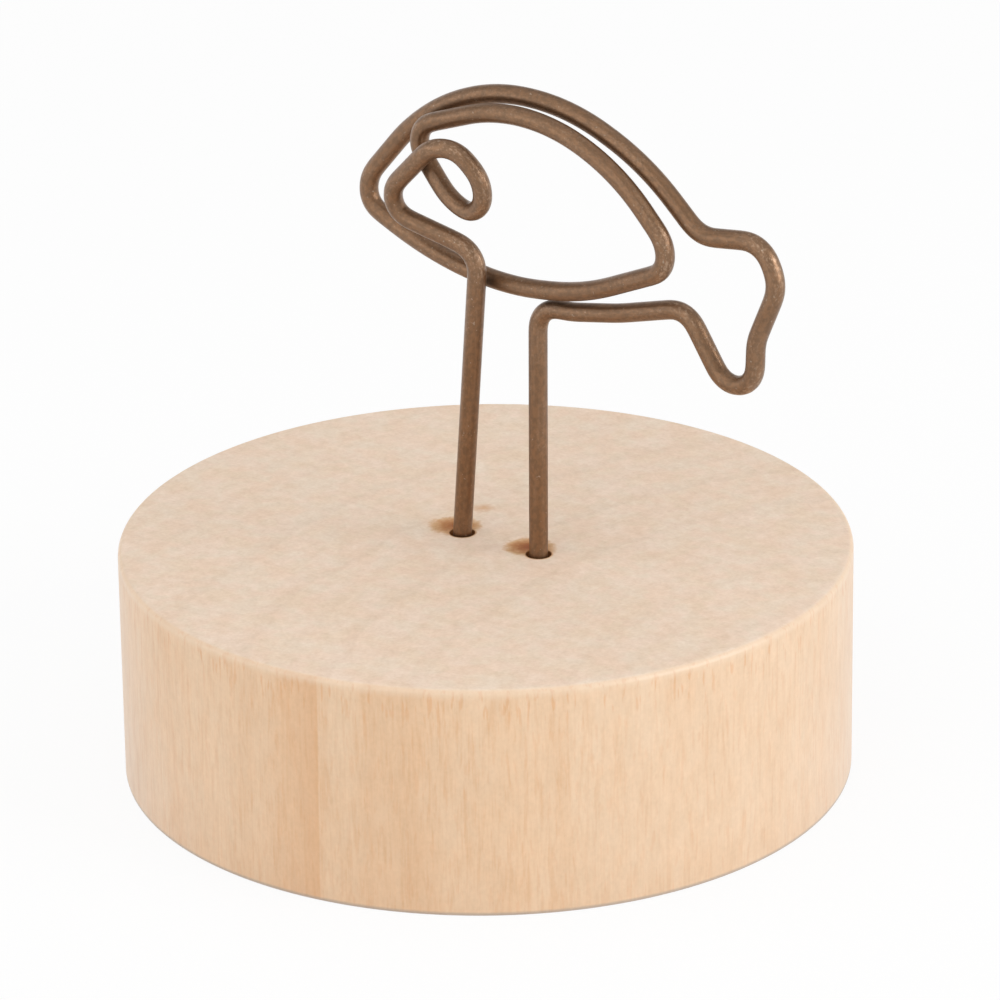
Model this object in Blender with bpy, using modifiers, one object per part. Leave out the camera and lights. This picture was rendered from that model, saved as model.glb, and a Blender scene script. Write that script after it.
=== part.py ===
"""Memo clip holder: one bent wire clip, glued by its two feet into a round wooden base.

The wire is a single length. It rises from the rear foot, runs out to a tail, comes back over the
top, turns round the nose, passes under the belly, doubles back inside itself, closes an eye loop
and comes down to the front foot. Each turn lies one layer in front of the one before it, and a
card is held in the slot between two layers.

Units are metres and +Z is up. The base rests on z = 0 with its axis on the origin. The figure
stands along X, with its tail towards +X and its front layer towards -Y.
"""

import math

import bpy
from mathutils import Vector

MM = 0.001

# Wooden base
BASE_DIAMETER = 60.0 * MM
BASE_HEIGHT = 19.4 * MM
UPPER_ROUNDING = 0.5 * MM
LOWER_ROUNDING = 0.15 * MM
BASE_SIDES = 128
RIM_SEGMENTS = 3

# Wire
WIRE_DIAMETER = 1.55 * MM
CARD_SLOT = 0.35 * MM
WIRE_SIDES = 12

# Feet and the glue round them
FOOT_SPACING = 7.75 * MM
FOOT_MIDDLE_X = 1.5 * MM
FOOT_DEPTH = 11.0 * MM
FOOT_BEND_DEPTH = 0.2 * MM
FOOT_BEND_RADIUS = 3.0 * MM
GLUE_WALL = 0.175 * MM
GLUE_CLEARANCE = 0.05 * MM
GLUE_FLOOR = 0.8 * MM
GLUE_BELOW_TOP = 1.0 * MM
GLUE_SIDES = 24

# Heights of the figure over the base and over the tail's run
RUN_HEIGHT = 21.6 * MM
LAYER_PITCH = WIRE_DIAMETER + CARD_SLOT
BODY_RISE = WIRE_DIAMETER + CARD_SLOT

# Smoothness of the wire's bends
TURN_STEP = math.radians(11.0)
LONGEST_CHORD = 1.5 * MM

# Bends of the tail: millimetres along from the rear foot, layers to the front,
# millimetres over the tail's run, bend radius in millimetres
TAIL_BENDS = [
    (0.2, 0.0, 0.0, 2.0),
    (3.6, 0.0, 0.2, 6.0),
    (8.2, 0.0, 1.1, 20.0),
    (14.7, 0.0, 2.95, 2.1),
    (18.3, 0.0, -2.7, 2.0),
    (21.2, 0.0, -2.2, 1.9),
    (21.3, 0.0, 1.6, 3.0),
    (23.4, 0.0, 6.6, 3.0),
    (21.9, 0.0, 10.0, 2.4),
    (16.0, 0.0, 9.2, 2.6),
]

# Bends of the back and the nose, in the rear layer: the same, but millimetres over the body's datum
BACK_BENDS = [
    (10.8, 0.0, 12.25, 21.0),
    (3.55, 0.0, 15.45, 18.0),
    (-3.6, 0.0, 15.55, 16.0),
    (-9.4, 0.0, 13.2, 17.5),
    (-12.8, 0.0, 10.25, 15.0),
    (-16.75, 0.0, 5.6, 3.0),
    (-16.7, 0.0, 3.3, 1.8),
]

# Bends under the belly and back along the inner loop, which climbs to the next layer
INNER_BENDS = [
    (-10.0, 0.05, 0.3, 30.0),
    (-2.3, 0.18, -0.7, 23.0),
    (5.3, 0.5, 0.5, 24.0),
    (14.0, 0.95, 4.5, 2.0),
    (14.0, 1.0, 6.9, 2.8),
    (9.7, 1.0, 11.6, 17.0),
    (3.6, 1.0, 14.45, 15.5),
    (-2.5, 1.0, 14.65, 15.0),
    (-10.0, 1.0, 11.9, 1.8),
    (-10.0, 1.0, 9.9, 1.8),
]

# Bends of the eye loop, which climbs over itself
EYE_BENDS = [
    (-6.9, 1.2, 6.5, 5.0),
    (-4.45, 1.35, 5.6, 1.7),
    (-2.9, 1.5, 6.9, 2.1),
    (-2.9, 1.7, 9.15, 2.8),
    (-4.8, 1.95, 11.3, 2.3),
    (-7.0, 2.2, 11.35, 2.6),
]

# Bends of the front face and the top of the front leg
FACE_BENDS = [
    (-11.6, 1.95, 6.7, 2.7),
    (-11.5, 1.6, 4.4, 1.4),
    (-3.8, 1.32, 2.6, 2.1),
]

PART_NAME = "memo_clip_holder"

# Colour, roughness and metallic value of each material
MATERIALS = {
    "wood": ((0.62, 0.41, 0.24, 1.0), 0.6, 0.0),
    "wire": ((0.19, 0.12, 0.07, 1.0), 0.42, 0.85),
    "adhesive": ((0.55, 0.42, 0.24, 1.0), 0.35, 0.0),
}


def clear_scene():
    """Remove what the scene holds, so that a second run starts afresh."""
    for item in list(bpy.data.objects):
        bpy.data.objects.remove(item, do_unlink=True)
    for collection in list(bpy.data.collections):
        bpy.data.collections.remove(collection)


def new_collection(name):
    collection = bpy.data.collections.new(name)
    bpy.context.scene.collection.children.link(collection)
    return collection


def move_to(item, collection):
    for home in list(item.users_collection):
        home.objects.unlink(item)
    collection.objects.link(item)


def make_material(name):
    colour, roughness, metallic = MATERIALS[name]
    material = bpy.data.materials.new(name)
    material.use_nodes = True
    shader = material.node_tree.nodes["Principled BSDF"]
    shader.inputs["Base Color"].default_value = colour
    shader.inputs["Roughness"].default_value = roughness
    shader.inputs["Metallic"].default_value = metallic
    material.diffuse_color = colour
    return material


def foot_places():
    """Name and X of each foot, on the base's diameter along X."""
    half = FOOT_SPACING / 2
    return {"tail_side": FOOT_MIDDLE_X + half, "head_side": FOOT_MIDDLE_X - half}


def hole_diameter():
    return WIRE_DIAMETER + 2 * (GLUE_WALL + 2 * GLUE_CLEARANCE)


def hole_depth():
    return FOOT_DEPTH + GLUE_FLOOR + 2 * GLUE_CLEARANCE


def add_drill(name, x, collection):
    """A drill that leaves a blind foot hole, a little taller than the hole to cut the top cleanly."""
    over = WIRE_DIAMETER
    height = hole_depth() + over
    bpy.ops.mesh.primitive_cylinder_add(
        vertices=GLUE_SIDES,
        radius=hole_diameter() / 2,
        depth=height,
        location=(x, 0.0, BASE_HEIGHT + over - height / 2),
    )
    drill = bpy.context.object
    drill.name = name
    drill.hide_render = True
    drill.display_type = "WIRE"
    move_to(drill, collection)
    return drill


def ease_rim(base, name, side, rounding):
    """Round one rim of the disc: the upper one where side is 1, the lower one where it is -1."""
    corners = [vertex.index for vertex in base.data.vertices if side * vertex.co.z > 0.0]
    base.vertex_groups.new(name=name).add(corners, 1.0, "REPLACE")
    rim = base.modifiers.new(name, "BEVEL")
    rim.width = rounding
    rim.segments = RIM_SEGMENTS
    rim.limit_method = "VGROUP"
    rim.vertex_group = name


def make_base(parts, cutters, material):
    """The turned disc: a cylinder with eased rims and one blind hole for each foot."""
    bpy.ops.mesh.primitive_cylinder_add(
        vertices=BASE_SIDES,
        radius=BASE_DIAMETER / 2,
        depth=BASE_HEIGHT,
        end_fill_type="NGON",
        location=(0.0, 0.0, BASE_HEIGHT / 2),
    )
    base = bpy.context.object
    base.name = "wood_base"
    base.data.materials.append(material)
    ease_rim(base, "upper_rim", 1, UPPER_ROUNDING)
    ease_rim(base, "lower_rim", -1, LOWER_ROUNDING)
    for side, x in foot_places().items():
        hole = base.modifiers.new("hole_" + side, "BOOLEAN")
        hole.operation = "DIFFERENCE"
        hole.solver = "EXACT"
        hole.object = add_drill("drill_" + side, x, cutters)
    move_to(base, parts)
    base.data.shade_smooth()
    base.data.set_sharp_from_angle(angle=math.radians(30.0))
    return base


def make_glue(side, x, parts, material):
    """The set glue round one foot: a thin cup, turned about the hole's axis."""
    bore = WIRE_DIAMETER / 2 + GLUE_CLEARANCE
    outer = bore + GLUE_WALL
    top = -GLUE_BELOW_TOP
    floor = -FOOT_DEPTH - GLUE_CLEARANCE
    bottom = floor - GLUE_FLOOR
    section = [(0.0, floor), (bore, floor), (bore, top), (outer, top), (outer, bottom), (0.0, bottom)]
    mesh = bpy.data.meshes.new("adhesive_" + side)
    corners = [(radius, 0.0, height) for radius, height in section]
    edges = [(i, i + 1) for i in range(len(section) - 1)]
    mesh.from_pydata(corners, edges, [])
    glue = bpy.data.objects.new("adhesive_" + side, mesh)
    parts.objects.link(glue)
    glue.location = (x, 0.0, BASE_HEIGHT)
    glue.data.materials.append(material)
    turn = glue.modifiers.new("turned", "SCREW")
    turn.axis = "Z"
    turn.angle = math.tau
    turn.screw_offset = 0.0
    turn.steps = GLUE_SIDES
    turn.render_steps = GLUE_SIDES
    turn.use_merge_vertices = True
    turn.merge_threshold = 0.00001
    return glue


def wire_bends():
    """The wire's corners from the rear foot to the front foot, as (corner, bend radius)."""
    feet = foot_places()
    rear_x = feet["tail_side"]
    front_x = feet["head_side"]
    run = BASE_HEIGHT + RUN_HEIGHT
    body = run + BODY_RISE
    foot_bend = BASE_HEIGHT - FOOT_BEND_DEPTH
    foot_end = BASE_HEIGHT - FOOT_DEPTH
    bends = [
        (Vector((rear_x, 0.0, foot_end)), 0.0),
        (Vector((rear_x, 0.0, foot_bend)), FOOT_BEND_RADIUS),
    ]
    stretches = [(TAIL_BENDS, run)]
    stretches += [(rows, body) for rows in (BACK_BENDS, INNER_BENDS, EYE_BENDS, FACE_BENDS)]
    for rows, datum in stretches:
        for along, layer, up, radius in rows:
            corner = Vector((rear_x + along * MM, -layer * LAYER_PITCH, datum + up * MM))
            bends.append((corner, radius * MM))
    bends.append((Vector((front_x, 0.0, foot_bend)), FOOT_BEND_RADIUS))
    bends.append((Vector((front_x, 0.0, foot_end)), 0.0))
    return bends


def bend_reaches(bends):
    """How far each bend reaches along its straights, with neighbours sharing a short straight."""
    reaches = [0.0] * len(bends)
    for i in range(1, len(bends) - 1):
        back = bends[i - 1][0] - bends[i][0]
        ahead = bends[i + 1][0] - bends[i][0]
        reaches[i] = bends[i][1] * math.tan((math.pi - back.angle(ahead)) / 2)
    shares = [1.0] * len(bends)
    for i in range(1, len(bends)):
        length = (bends[i][0] - bends[i - 1][0]).length
        wanted = reaches[i] + reaches[i - 1]
        if wanted > length:
            shares[i] = min(shares[i], length / wanted)
            shares[i - 1] = min(shares[i - 1], length / wanted)
    return [reach * share for reach, share in zip(reaches, shares)]


def bend_arc(before, corner, after, reach):
    """Points of the arc that rounds a corner, starting and ending at the given reach from it."""
    back = (before - corner).normalized()
    ahead = (after - corner).normalized()
    turn = math.pi - back.angle(ahead)
    radius = reach / math.tan(turn / 2)
    centre = corner + (back + ahead).normalized() * (radius / math.cos(turn / 2))
    outward = (corner + back * reach - centre).normalized()
    steps = max(2, math.ceil(turn / TURN_STEP), math.ceil(radius * turn / LONGEST_CHORD))
    points = []
    for step in range(steps + 1):
        angle = turn * step / steps
        points.append(centre + radius * (math.cos(angle) * outward - math.sin(angle) * back))
    return points


def wire_route():
    """Centre line of the whole wire, from its straights and rounded bends."""
    bends = wire_bends()
    reaches = bend_reaches(bends)
    points = [bends[0][0]]
    for i in range(1, len(bends) - 1):
        points += bend_arc(bends[i - 1][0], bends[i][0], bends[i + 1][0], reaches[i])
    points.append(bends[-1][0])
    route = [points[0]]
    for point in points[1:]:
        if (point - route[-1]).length > WIRE_DIAMETER / 100:
            route.append(point)
    return route


def least_gap(route):
    """The least clear gap of the wire to itself, measured between points two pitches or more apart."""
    places = []
    run = 0.0
    for start, end in zip(route, route[1:]):
        length = (end - start).length
        steps = max(1, math.ceil(length / (WIRE_DIAMETER / 8)))
        for step in range(steps):
            places.append((run + length * step / steps, start.lerp(end, step / steps)))
        run += length
    apart = 3 * LAYER_PITCH
    nearest = min(
        (one - other).length
        for i, (here, one) in enumerate(places)
        for there, other in places[i + 1:]
        if there - here > apart
    )
    return nearest - WIRE_DIAMETER


def make_wire(parts, material):
    """The clip: a round tube along the route, cut flat at both feet."""
    route = wire_route()
    curve = bpy.data.curves.new("wire_clip", "CURVE")
    curve.dimensions = "3D"
    curve.bevel_depth = WIRE_DIAMETER / 2
    curve.bevel_resolution = (WIRE_SIDES - 4) // 2
    curve.use_fill_caps = True
    spline = curve.splines.new("POLY")
    spline.points.add(len(route) - 1)
    for point, place in zip(spline.points, route):
        point.co = (*place, 1.0)
    spline.use_smooth = True
    wire = bpy.data.objects.new("wire_clip", curve)
    curve.materials.append(material)
    parts.objects.link(wire)
    length = sum((b - a).length for a, b in zip(route, route[1:]))
    print(f"wire: {len(route)} points, {length / MM:.1f} mm long")
    print(f"wire: least gap to itself {least_gap(route) / MM:.2f} mm")
    return wire


def main():
    clear_scene()
    parts = new_collection(PART_NAME)
    cutters = new_collection("cutters")
    materials = {name: make_material(name) for name in MATERIALS}
    make_base(parts, cutters, materials["wood"])
    make_wire(parts, materials["wire"])
    for side, x in foot_places().items():
        make_glue(side, x, parts, materials["adhesive"])


main()
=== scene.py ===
"""Memo clip holder: one bent bronze wire clip in a turned wooden base, on a pale table.

Sizes are in metres and +Z is up. The base rests on z = 0 with its axis on the origin. The figure
stands along X, with its tail towards +X and its front layer towards -Y.
"""

import math

import bmesh
import bpy
from mathutils import Matrix, Vector
from mathutils.kdtree import KDTree


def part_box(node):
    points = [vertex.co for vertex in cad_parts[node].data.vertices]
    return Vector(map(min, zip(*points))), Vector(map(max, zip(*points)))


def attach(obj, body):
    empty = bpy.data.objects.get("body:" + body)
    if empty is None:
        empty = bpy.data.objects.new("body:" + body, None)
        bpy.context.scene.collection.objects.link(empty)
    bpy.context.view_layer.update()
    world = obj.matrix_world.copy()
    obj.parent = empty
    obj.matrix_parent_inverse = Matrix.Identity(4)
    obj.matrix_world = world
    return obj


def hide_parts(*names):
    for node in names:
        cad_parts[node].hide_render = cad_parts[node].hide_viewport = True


bl_info = {
    "name": "Memo Clip Holder",
    "version": (1, 0, 0),
    "blender": (4, 5, 0),
    "location": "View3D > Sidebar > Memo Clip",
    "description": "Builds a bent wire memo clip in a turned wooden base, with its table and light",
    "category": "Add Mesh",
}

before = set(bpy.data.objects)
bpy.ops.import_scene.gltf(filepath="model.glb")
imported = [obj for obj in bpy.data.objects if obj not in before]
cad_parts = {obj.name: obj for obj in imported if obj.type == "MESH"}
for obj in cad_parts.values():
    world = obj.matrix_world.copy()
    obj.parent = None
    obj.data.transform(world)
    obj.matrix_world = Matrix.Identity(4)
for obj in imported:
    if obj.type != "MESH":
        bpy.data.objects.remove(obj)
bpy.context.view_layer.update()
BASE_LOW, BASE_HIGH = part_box("wood_base")

MM = 0.001
BODY = "root"

# Marks on the points of the wire: wear on its bends, and the slots where shade is painted
BEND_MARK = "Bend"
SLOT_MARK = "Slot"

# Bends of the tail: millimetres along from the rear foot, layers to the front,
# millimetres over the tail's run, bend radius in millimetres
TAIL_BENDS = [
    (0.2, 0.0, 0.0, 2.0),
    (3.6, 0.0, 0.2, 6.0),
    (8.2, 0.0, 1.1, 20.0),
    (14.7, 0.0, 2.95, 2.1),
    (18.3, 0.0, -2.7, 2.0),
    (21.2, 0.0, -2.2, 1.9),
    (21.3, 0.0, 1.6, 3.0),
    (23.4, 0.0, 6.6, 3.0),
    (21.9, 0.0, 10.0, 2.4),
    (16.0, 0.0, 9.2, 2.6),
]

# Bends of the body, with heights over its own datum: back and nose, belly and inner loop,
# eye loop, then the front face down to the front leg
BODY_BENDS = [
    (10.8, 0.0, 12.25, 21.0),
    (3.55, 0.0, 15.45, 18.0),
    (-3.6, 0.0, 15.55, 16.0),
    (-9.4, 0.0, 13.2, 17.5),
    (-12.8, 0.0, 10.25, 15.0),
    (-16.75, 0.0, 5.6, 3.0),
    (-16.7, 0.0, 3.3, 1.8),
    (-10.0, 0.05, 0.3, 30.0),
    (-2.3, 0.18, -0.7, 23.0),
    (5.3, 0.5, 0.5, 24.0),
    (14.0, 0.95, 4.5, 2.0),
    (14.0, 1.0, 6.9, 2.8),
    (9.7, 1.0, 11.6, 17.0),
    (3.6, 1.0, 14.45, 15.5),
    (-2.5, 1.0, 14.65, 15.0),
    (-10.0, 1.0, 11.9, 1.8),
    (-10.0, 1.0, 9.9, 1.8),
    (-6.9, 1.2, 6.5, 5.0),
    (-4.45, 1.35, 5.6, 1.7),
    (-2.9, 1.5, 6.9, 2.1),
    (-2.9, 1.7, 9.15, 2.8),
    (-4.8, 1.95, 11.3, 2.3),
    (-7.0, 2.2, 11.35, 2.6),
    (-11.6, 1.95, 6.7, 2.7),
    (-11.5, 1.6, 4.4, 1.4),
    (-3.8, 1.32, 2.6, 2.1),
]


def number_prop(name, description, default, **kind):
    return bpy.props.FloatProperty(name=name, description=description, default=default, **kind)


def length_prop(name, description, default):
    return number_prop(name, description, default, precision=5, subtype="DISTANCE", unit="LENGTH")


def share_prop(name, description, default):
    return number_prop(name, description, default, min=0.0, max=1.0, subtype="FACTOR")


def power_prop(name, description, default):
    return number_prop(name, description, default, min=0.0, subtype="POWER", unit="POWER")


def colour_prop(name, description, default):
    return bpy.props.FloatVectorProperty(
        name=name + " Colour", description=description, default=(*default, 1.0),
        size=4, min=0.0, max=1.0, subtype="COLOR",
    )


class MemoClipBaseSettings(bpy.types.PropertyGroup):
    """Sizes and colours of the turned wooden base"""

    diameter: length_prop("Diameter", "Diameter of the base", BASE_HIGH[0] - BASE_LOW[0])
    height: length_prop("Height", "Height of the base", BASE_HIGH[2] - BASE_LOW[2])
    rim_rounding: length_prop("Rim Rounding", "Radius that eases the upper rim", 0.5 * MM)
    lower_rounding: length_prop("Lower Rounding", "Radius that eases the lower rim", 0.15 * MM)
    hole_diameter: length_prop("Hole Diameter", "Diameter of each foot's hole", 2.1 * MM)
    hole_depth: length_prop("Hole Depth", "Depth of each foot's hole", 11.9 * MM)
    hole_easing: length_prop("Hole Easing", "Width of the sanded edge round a hole", 0.03 * MM)
    side_colour: colour_prop("Side", "Long grain on the side", (0.795, 0.563, 0.366))
    warm_side_colour: colour_prop("Warm Side", "Warmer patches of the side", (0.84, 0.545, 0.32))
    pale_side_colour: colour_prop(
        "Pale Side", "Wood nearer the middle of the tree", (0.785, 0.62, 0.46))
    streak_colour: colour_prop("Streak", "Darker streaks and fibres", (0.70, 0.38, 0.17))
    dash_colour: colour_prop("Dash", "Short orange dashes", (0.70, 0.33, 0.12))
    band_colour: colour_prop("Band", "Growth ring that took more colour", (0.71, 0.38, 0.17))
    end_colour: colour_prop("End", "End grain on the top", (0.808, 0.656, 0.514))
    warm_colour: colour_prop("Warm End", "Warmer patches of end grain", (0.819, 0.639, 0.482))
    pink_colour: colour_prop("Pink", "Pinker patches of end grain", (0.89, 0.61, 0.49))
    ring_colour: colour_prop("Ring", "Late wood in the end grain", (0.64, 0.47, 0.34))
    # Painted highlight along the upper rim, where the rounded edge catches the light
    rim_highlight_colour: colour_prop("Rim", "Painted highlight on the upper rim", (0.86, 0.68, 0.51))
    # Painted shade along the lower rim, where the base meets the table
    foot_shade_colour: colour_prop("Foot", "Grime along the lower rim", (0.40, 0.33, 0.28))
    # Painted shade: the tint that darkens the wood in the painted shadows beside the feet and in
    # the holes
    hole_shade_tint: colour_prop("Stain Tint", "What a full stain lets through", (0.43, 0.184, 0.054))
    fleck_colour: colour_prop("Fleck", "Fleck in the end grain", (0.64, 0.36, 0.18))
    coat_weight: share_prop("Coat Weight", "Thin satin varnish on the wood", 0.75)


class MemoClipWireSettings(bpy.types.PropertyGroup):
    """Sizes and colours of the bent wire"""

    diameter: length_prop("Wire Diameter", "Diameter of the round wire", 1.55 * MM)
    card_slot: length_prop("Card Slot", "Gap between two layers of the wire", 0.35 * MM)
    foot_spacing: length_prop("Foot Spacing", "Distance between the two feet", 7.75 * MM)
    foot_middle: length_prop("Foot Middle", "Middle of the feet along X", 1.5 * MM)
    foot_depth: length_prop("Foot Depth", "How deep the feet go into the base", 11.0 * MM)
    foot_bend_depth: length_prop("Foot Bend Depth", "Depth where a leg turns upright", 0.2 * MM)
    foot_bend_radius: length_prop("Foot Bend Radius", "Radius of that turn", 3.0 * MM)
    run_height: length_prop("Run Height", "Height of the tail's run over the base", 21.6 * MM)
    bend_easing: length_prop("Bend Easing", "Length over which a bend begins", 0.5 * MM)
    step: length_prop("Step", "Distance between two rings of the mesh", 0.2 * MM)
    mark_reach: length_prop("Mark Reach", "Length over which a bend's wear is judged", 1.0 * MM)
    slot_reach: length_prop("Slot Reach", "How far the painted shade spreads from a slot", 0.9 * MM)
    sides: bpy.props.IntProperty(
        name="Sides", description="Corners round the wire", default=24, min=8)
    lacquer_weight: share_prop("Lacquer Weight", "Thin lacquer on the wire", 0.4)
    metal_colour: colour_prop("Metal", "Brown antique finish", (0.240, 0.124, 0.058))
    olive_colour: colour_prop("Olive", "Thicker olive patina", (0.158, 0.088, 0.044))
    copper_colour: colour_prop("Copper", "Copper where it is rubbed", (0.46, 0.305, 0.200))
    pit_colour: colour_prop("Pit", "Pale specks in small pits", (0.60, 0.50, 0.40))
    # Painted shade in the slots where two layers of the wire lie close
    slot_shade_colour: colour_prop("Painted Shade", "Grime in the slots", (0.040, 0.026, 0.017))


class MemoClipGlueSettings(bpy.types.PropertyGroup):
    """Colours of the set glue"""

    amber_colour: colour_prop("Amber", "Clear amber glue", (0.33, 0.20, 0.08))
    cloud_colour: colour_prop("Cloud", "Cloudy places in the glue", (0.46, 0.31, 0.14))


class MemoClipStageSettings(bpy.types.PropertyGroup):
    """Table, light and camera"""

    floor_size: length_prop("Floor Size", "Width of the table top", 6.0)
    floor_colour: colour_prop("Floor", "Plain table top", (0.90, 0.90, 0.90))
    ground_white: share_prop("Ground White", "How white the eye sees the table top", 0.90)
    sky_strength: number_prop("Sky Strength", "Soft light from all round", 0.44, min=0.0)
    ceiling_strength: number_prop(
        "Ceiling Strength", "How bright the ceiling looks", 0.25, min=0.0)
    right_power: power_prop("Right Softbox", "Softbox on the right", 1.98)
    left_power: power_prop("Left Softbox", "Softbox on the left", 1.36)
    front_power: power_prop("Front Softbox", "Softbox over the camera", 0.27)
    top_power: power_prop("Top Softbox", "Softbox overhead", 2.50)
    lens: number_prop("Lens", "Focal length of the camera", 228.27, min=1.0, unit="CAMERA")


# Helpers for meshes

def deselect_all():
    if bpy.context.object and bpy.context.object.mode != "OBJECT":
        bpy.ops.object.mode_set(mode="OBJECT")
    bpy.ops.object.select_all(action="DESELECT")


def pick(piece):
    """Select one piece alone and make it the active one."""
    deselect_all()
    piece.select_set(True)
    bpy.context.view_layer.objects.active = piece


def select_parts(piece, kind, wanted):
    """Select the edges or faces that pass a test, in edit mode."""
    bpy.ops.mesh.select_mode(type=kind)
    bpy.ops.mesh.select_all(action="DESELECT")
    mesh = bmesh.from_edit_mesh(piece.data)
    for part in mesh.edges if kind == "EDGE" else mesh.faces:
        part.select_set(wanted(part))
    mesh.select_flush_mode()
    bmesh.update_edit_mesh(piece.data)


def apply_place(piece):
    pick(piece)
    bpy.ops.object.transform_apply(location=True, rotation=True, scale=True)


def start_cylinder(sides, diameter, height, middle):
    """A new cylinder, left in edit mode."""
    deselect_all()
    bpy.ops.mesh.primitive_cylinder_add(
        vertices=sides, radius=diameter / 2, depth=height, end_fill_type="NGON", location=middle)
    bpy.ops.object.mode_set(mode="EDIT")
    return bpy.context.object


# Helpers for materials. A value is a number, a colour or another node's socket

COLUMN_WIDTH = 220.0
ROW_HEIGHT = 180.0


def arrange_nodes(tree):
    """Lay the nodes out in columns, each to the left of all that it feeds."""
    columns = {node.name: 0 for node in tree.nodes}
    for repeat in range(len(columns)):
        for link in tree.links:
            fed = columns[link.to_node.name]
            columns[link.from_node.name] = max(columns[link.from_node.name], fed + 1)
    filled = {}
    for node in tree.nodes:
        column = columns[node.name]
        filled[column] = filled.get(column, 0) + 1
        node.location = (-COLUMN_WIDTH * column, -ROW_HEIGHT * filled[column])


def set_input(tree, socket, value):
    if hasattr(value, "links"):
        tree.links.new(value, socket)
    else:
        socket.default_value = value


def add_node(tree, kind, label, inputs=(), **settings):
    """A new shader node with its settings, then its inputs, in order or by name."""
    node = tree.nodes.new("ShaderNode" + kind)
    node.label = label
    for key, value in settings.items():
        setattr(node, key, value)
    for key, value in inputs.items() if isinstance(inputs, dict) else enumerate(inputs):
        set_input(tree, node.inputs[key], value)
    return node


def add_math(tree, operation, label, *values, clamp=False):
    node = add_node(tree, "Math", label, values, operation=operation, use_clamp=clamp)
    return node.outputs[0]


def add_vector_math(tree, operation, label, *values):
    """A Vector Math node; a length comes out as a number."""
    node = add_node(tree, "VectorMath", label, values, operation=operation)
    return node.outputs["Value" if operation == "LENGTH" else "Vector"]


def add_vector(tree, label, *values):
    """A vector joined from its X, Y and Z."""
    return add_node(tree, "CombineXYZ", label, values).outputs[0]


def add_parts(tree, vector):
    """The X, Y and Z of a vector."""
    return add_node(tree, "SeparateXYZ", "Parts", [vector]).outputs


def add_reach(tree, label, x, y):
    """Level distance from an upright axis."""
    return add_vector_math(tree, "LENGTH", label, add_vector(tree, label + " Way", x, y))


def add_range(tree, label, value, low, high, to_low=0.0, to_high=1.0, smooth=True):
    """A Map Range node: a value between two limits becomes one between two others."""
    inputs = {
        "Value": value, "From Min": low, "From Max": high, "To Min": to_low, "To Max": to_high}
    way = "SMOOTHSTEP" if smooth else "LINEAR"
    node = add_node(tree, "MapRange", label, inputs, interpolation_type=way, clamp=True)
    return node.outputs[0]


def add_noise(tree, label, vector, scale, detail, roughness):
    """A Noise Texture whose features are about 1 / scale metres across."""
    inputs = {"Vector": vector, "Scale": scale, "Detail": detail, "Roughness": roughness}
    return add_node(tree, "TexNoise", label, inputs).outputs["Fac"]


def add_pattern(tree, label, vector, stretch, scale, detail, roughness):
    """Noise that is stretched along an axis by a scale under one."""
    way = add_node(tree, "Mapping", label + " Way", {"Vector": vector, "Scale": stretch})
    return add_noise(tree, label, way.outputs[0], scale, detail, roughness)


def add_mix(tree, label, factor, first, second, blend="MIX"):
    inputs = {"Factor": factor, "A": first, "B": second}
    node = add_node(tree, "Mix", label, inputs, data_type="RGBA", blend_type=blend)
    return node.outputs["Result"]


def add_layers(tree, colour, layers):
    """Lay colours over a colour, from the lowest up; each is (label, mask, share, colour)."""
    for label, mask, share, layer in layers:
        amount = add_math(tree, "MULTIPLY", label + " Share", mask, share)
        colour = add_mix(tree, label, amount, colour, layer)
    return colour


def add_gains(tree, label, colour, gains):
    """A colour whose red, green and blue are multiplied by a gain each."""
    gain = add_node(tree, "CombineColor", label, gains).outputs[0]
    return add_mix(tree, label, 1.0, colour, gain, "MULTIPLY")


def add_shade(tree, label, colour, patterns, swings, pulls):
    """A colour made lighter and darker by swings of patterns, with a pull on each channel."""
    tone = 1.0 - sum(swings.values()) / 2
    for name, swing in swings.items():
        tone = add_math(tree, "MULTIPLY_ADD", label, patterns[name], swing, tone)
    gains = [add_math(tree, "MULTIPLY_ADD", label, tone, pull, 1.0 - pull) for pull in pulls]
    return add_gains(tree, label, colour, gains)


def add_darkening(tree, label, colour, tint, depth):
    """A colour darkened through a tint, the more the deeper the painted shade lies."""
    gains = [add_math(tree, "POWER", label, passed, depth) for passed in tint[:3]]
    return add_gains(tree, label, colour, gains)


def add_relief(tree, label, height, distance, strength):
    inputs = {"Strength": strength, "Distance": distance, "Height": height}
    return add_node(tree, "Bump", label, inputs).outputs["Normal"]


def new_group(name, inputs):
    """A shader node group and its inputs, each a plain value or a vector like its default."""
    tree = bpy.data.node_groups.new(name, "ShaderNodeTree")
    for label, default in inputs.items():
        kind = "NodeSocketFloat" if isinstance(default, float) else "NodeSocketVector"
        socket = tree.interface.new_socket(name=label, in_out="INPUT", socket_type=kind)
        socket.default_value = default
    return tree, tree.nodes.new("NodeGroupInput").outputs


def finish_group(tree, outputs):
    """Give a group its outputs, all plain values, and arrange its nodes."""
    for label in outputs:
        tree.interface.new_socket(name=label, in_out="OUTPUT", socket_type="NodeSocketFloat")
    leave = tree.nodes.new("NodeGroupOutput")
    for label, value in outputs.items():
        tree.links.new(value, leave.inputs[label])
    arrange_nodes(tree)


def use_group(tree, name, inputs):
    """Place a node group with its own values."""
    return add_node(tree, "Group", name, inputs, node_tree=bpy.data.node_groups[name]).outputs


def new_material(name):
    material = bpy.data.materials.new(name)
    material.use_nodes = True
    return material, material.node_tree


def finish_material(material, inputs):
    """Feed the inputs of a material's shader and arrange its nodes."""
    tree = material.node_tree
    for label, value in inputs.items():
        set_input(tree, tree.nodes["Principled BSDF"].inputs[label], value)
    arrange_nodes(tree)
    return material


# Wood

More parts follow.
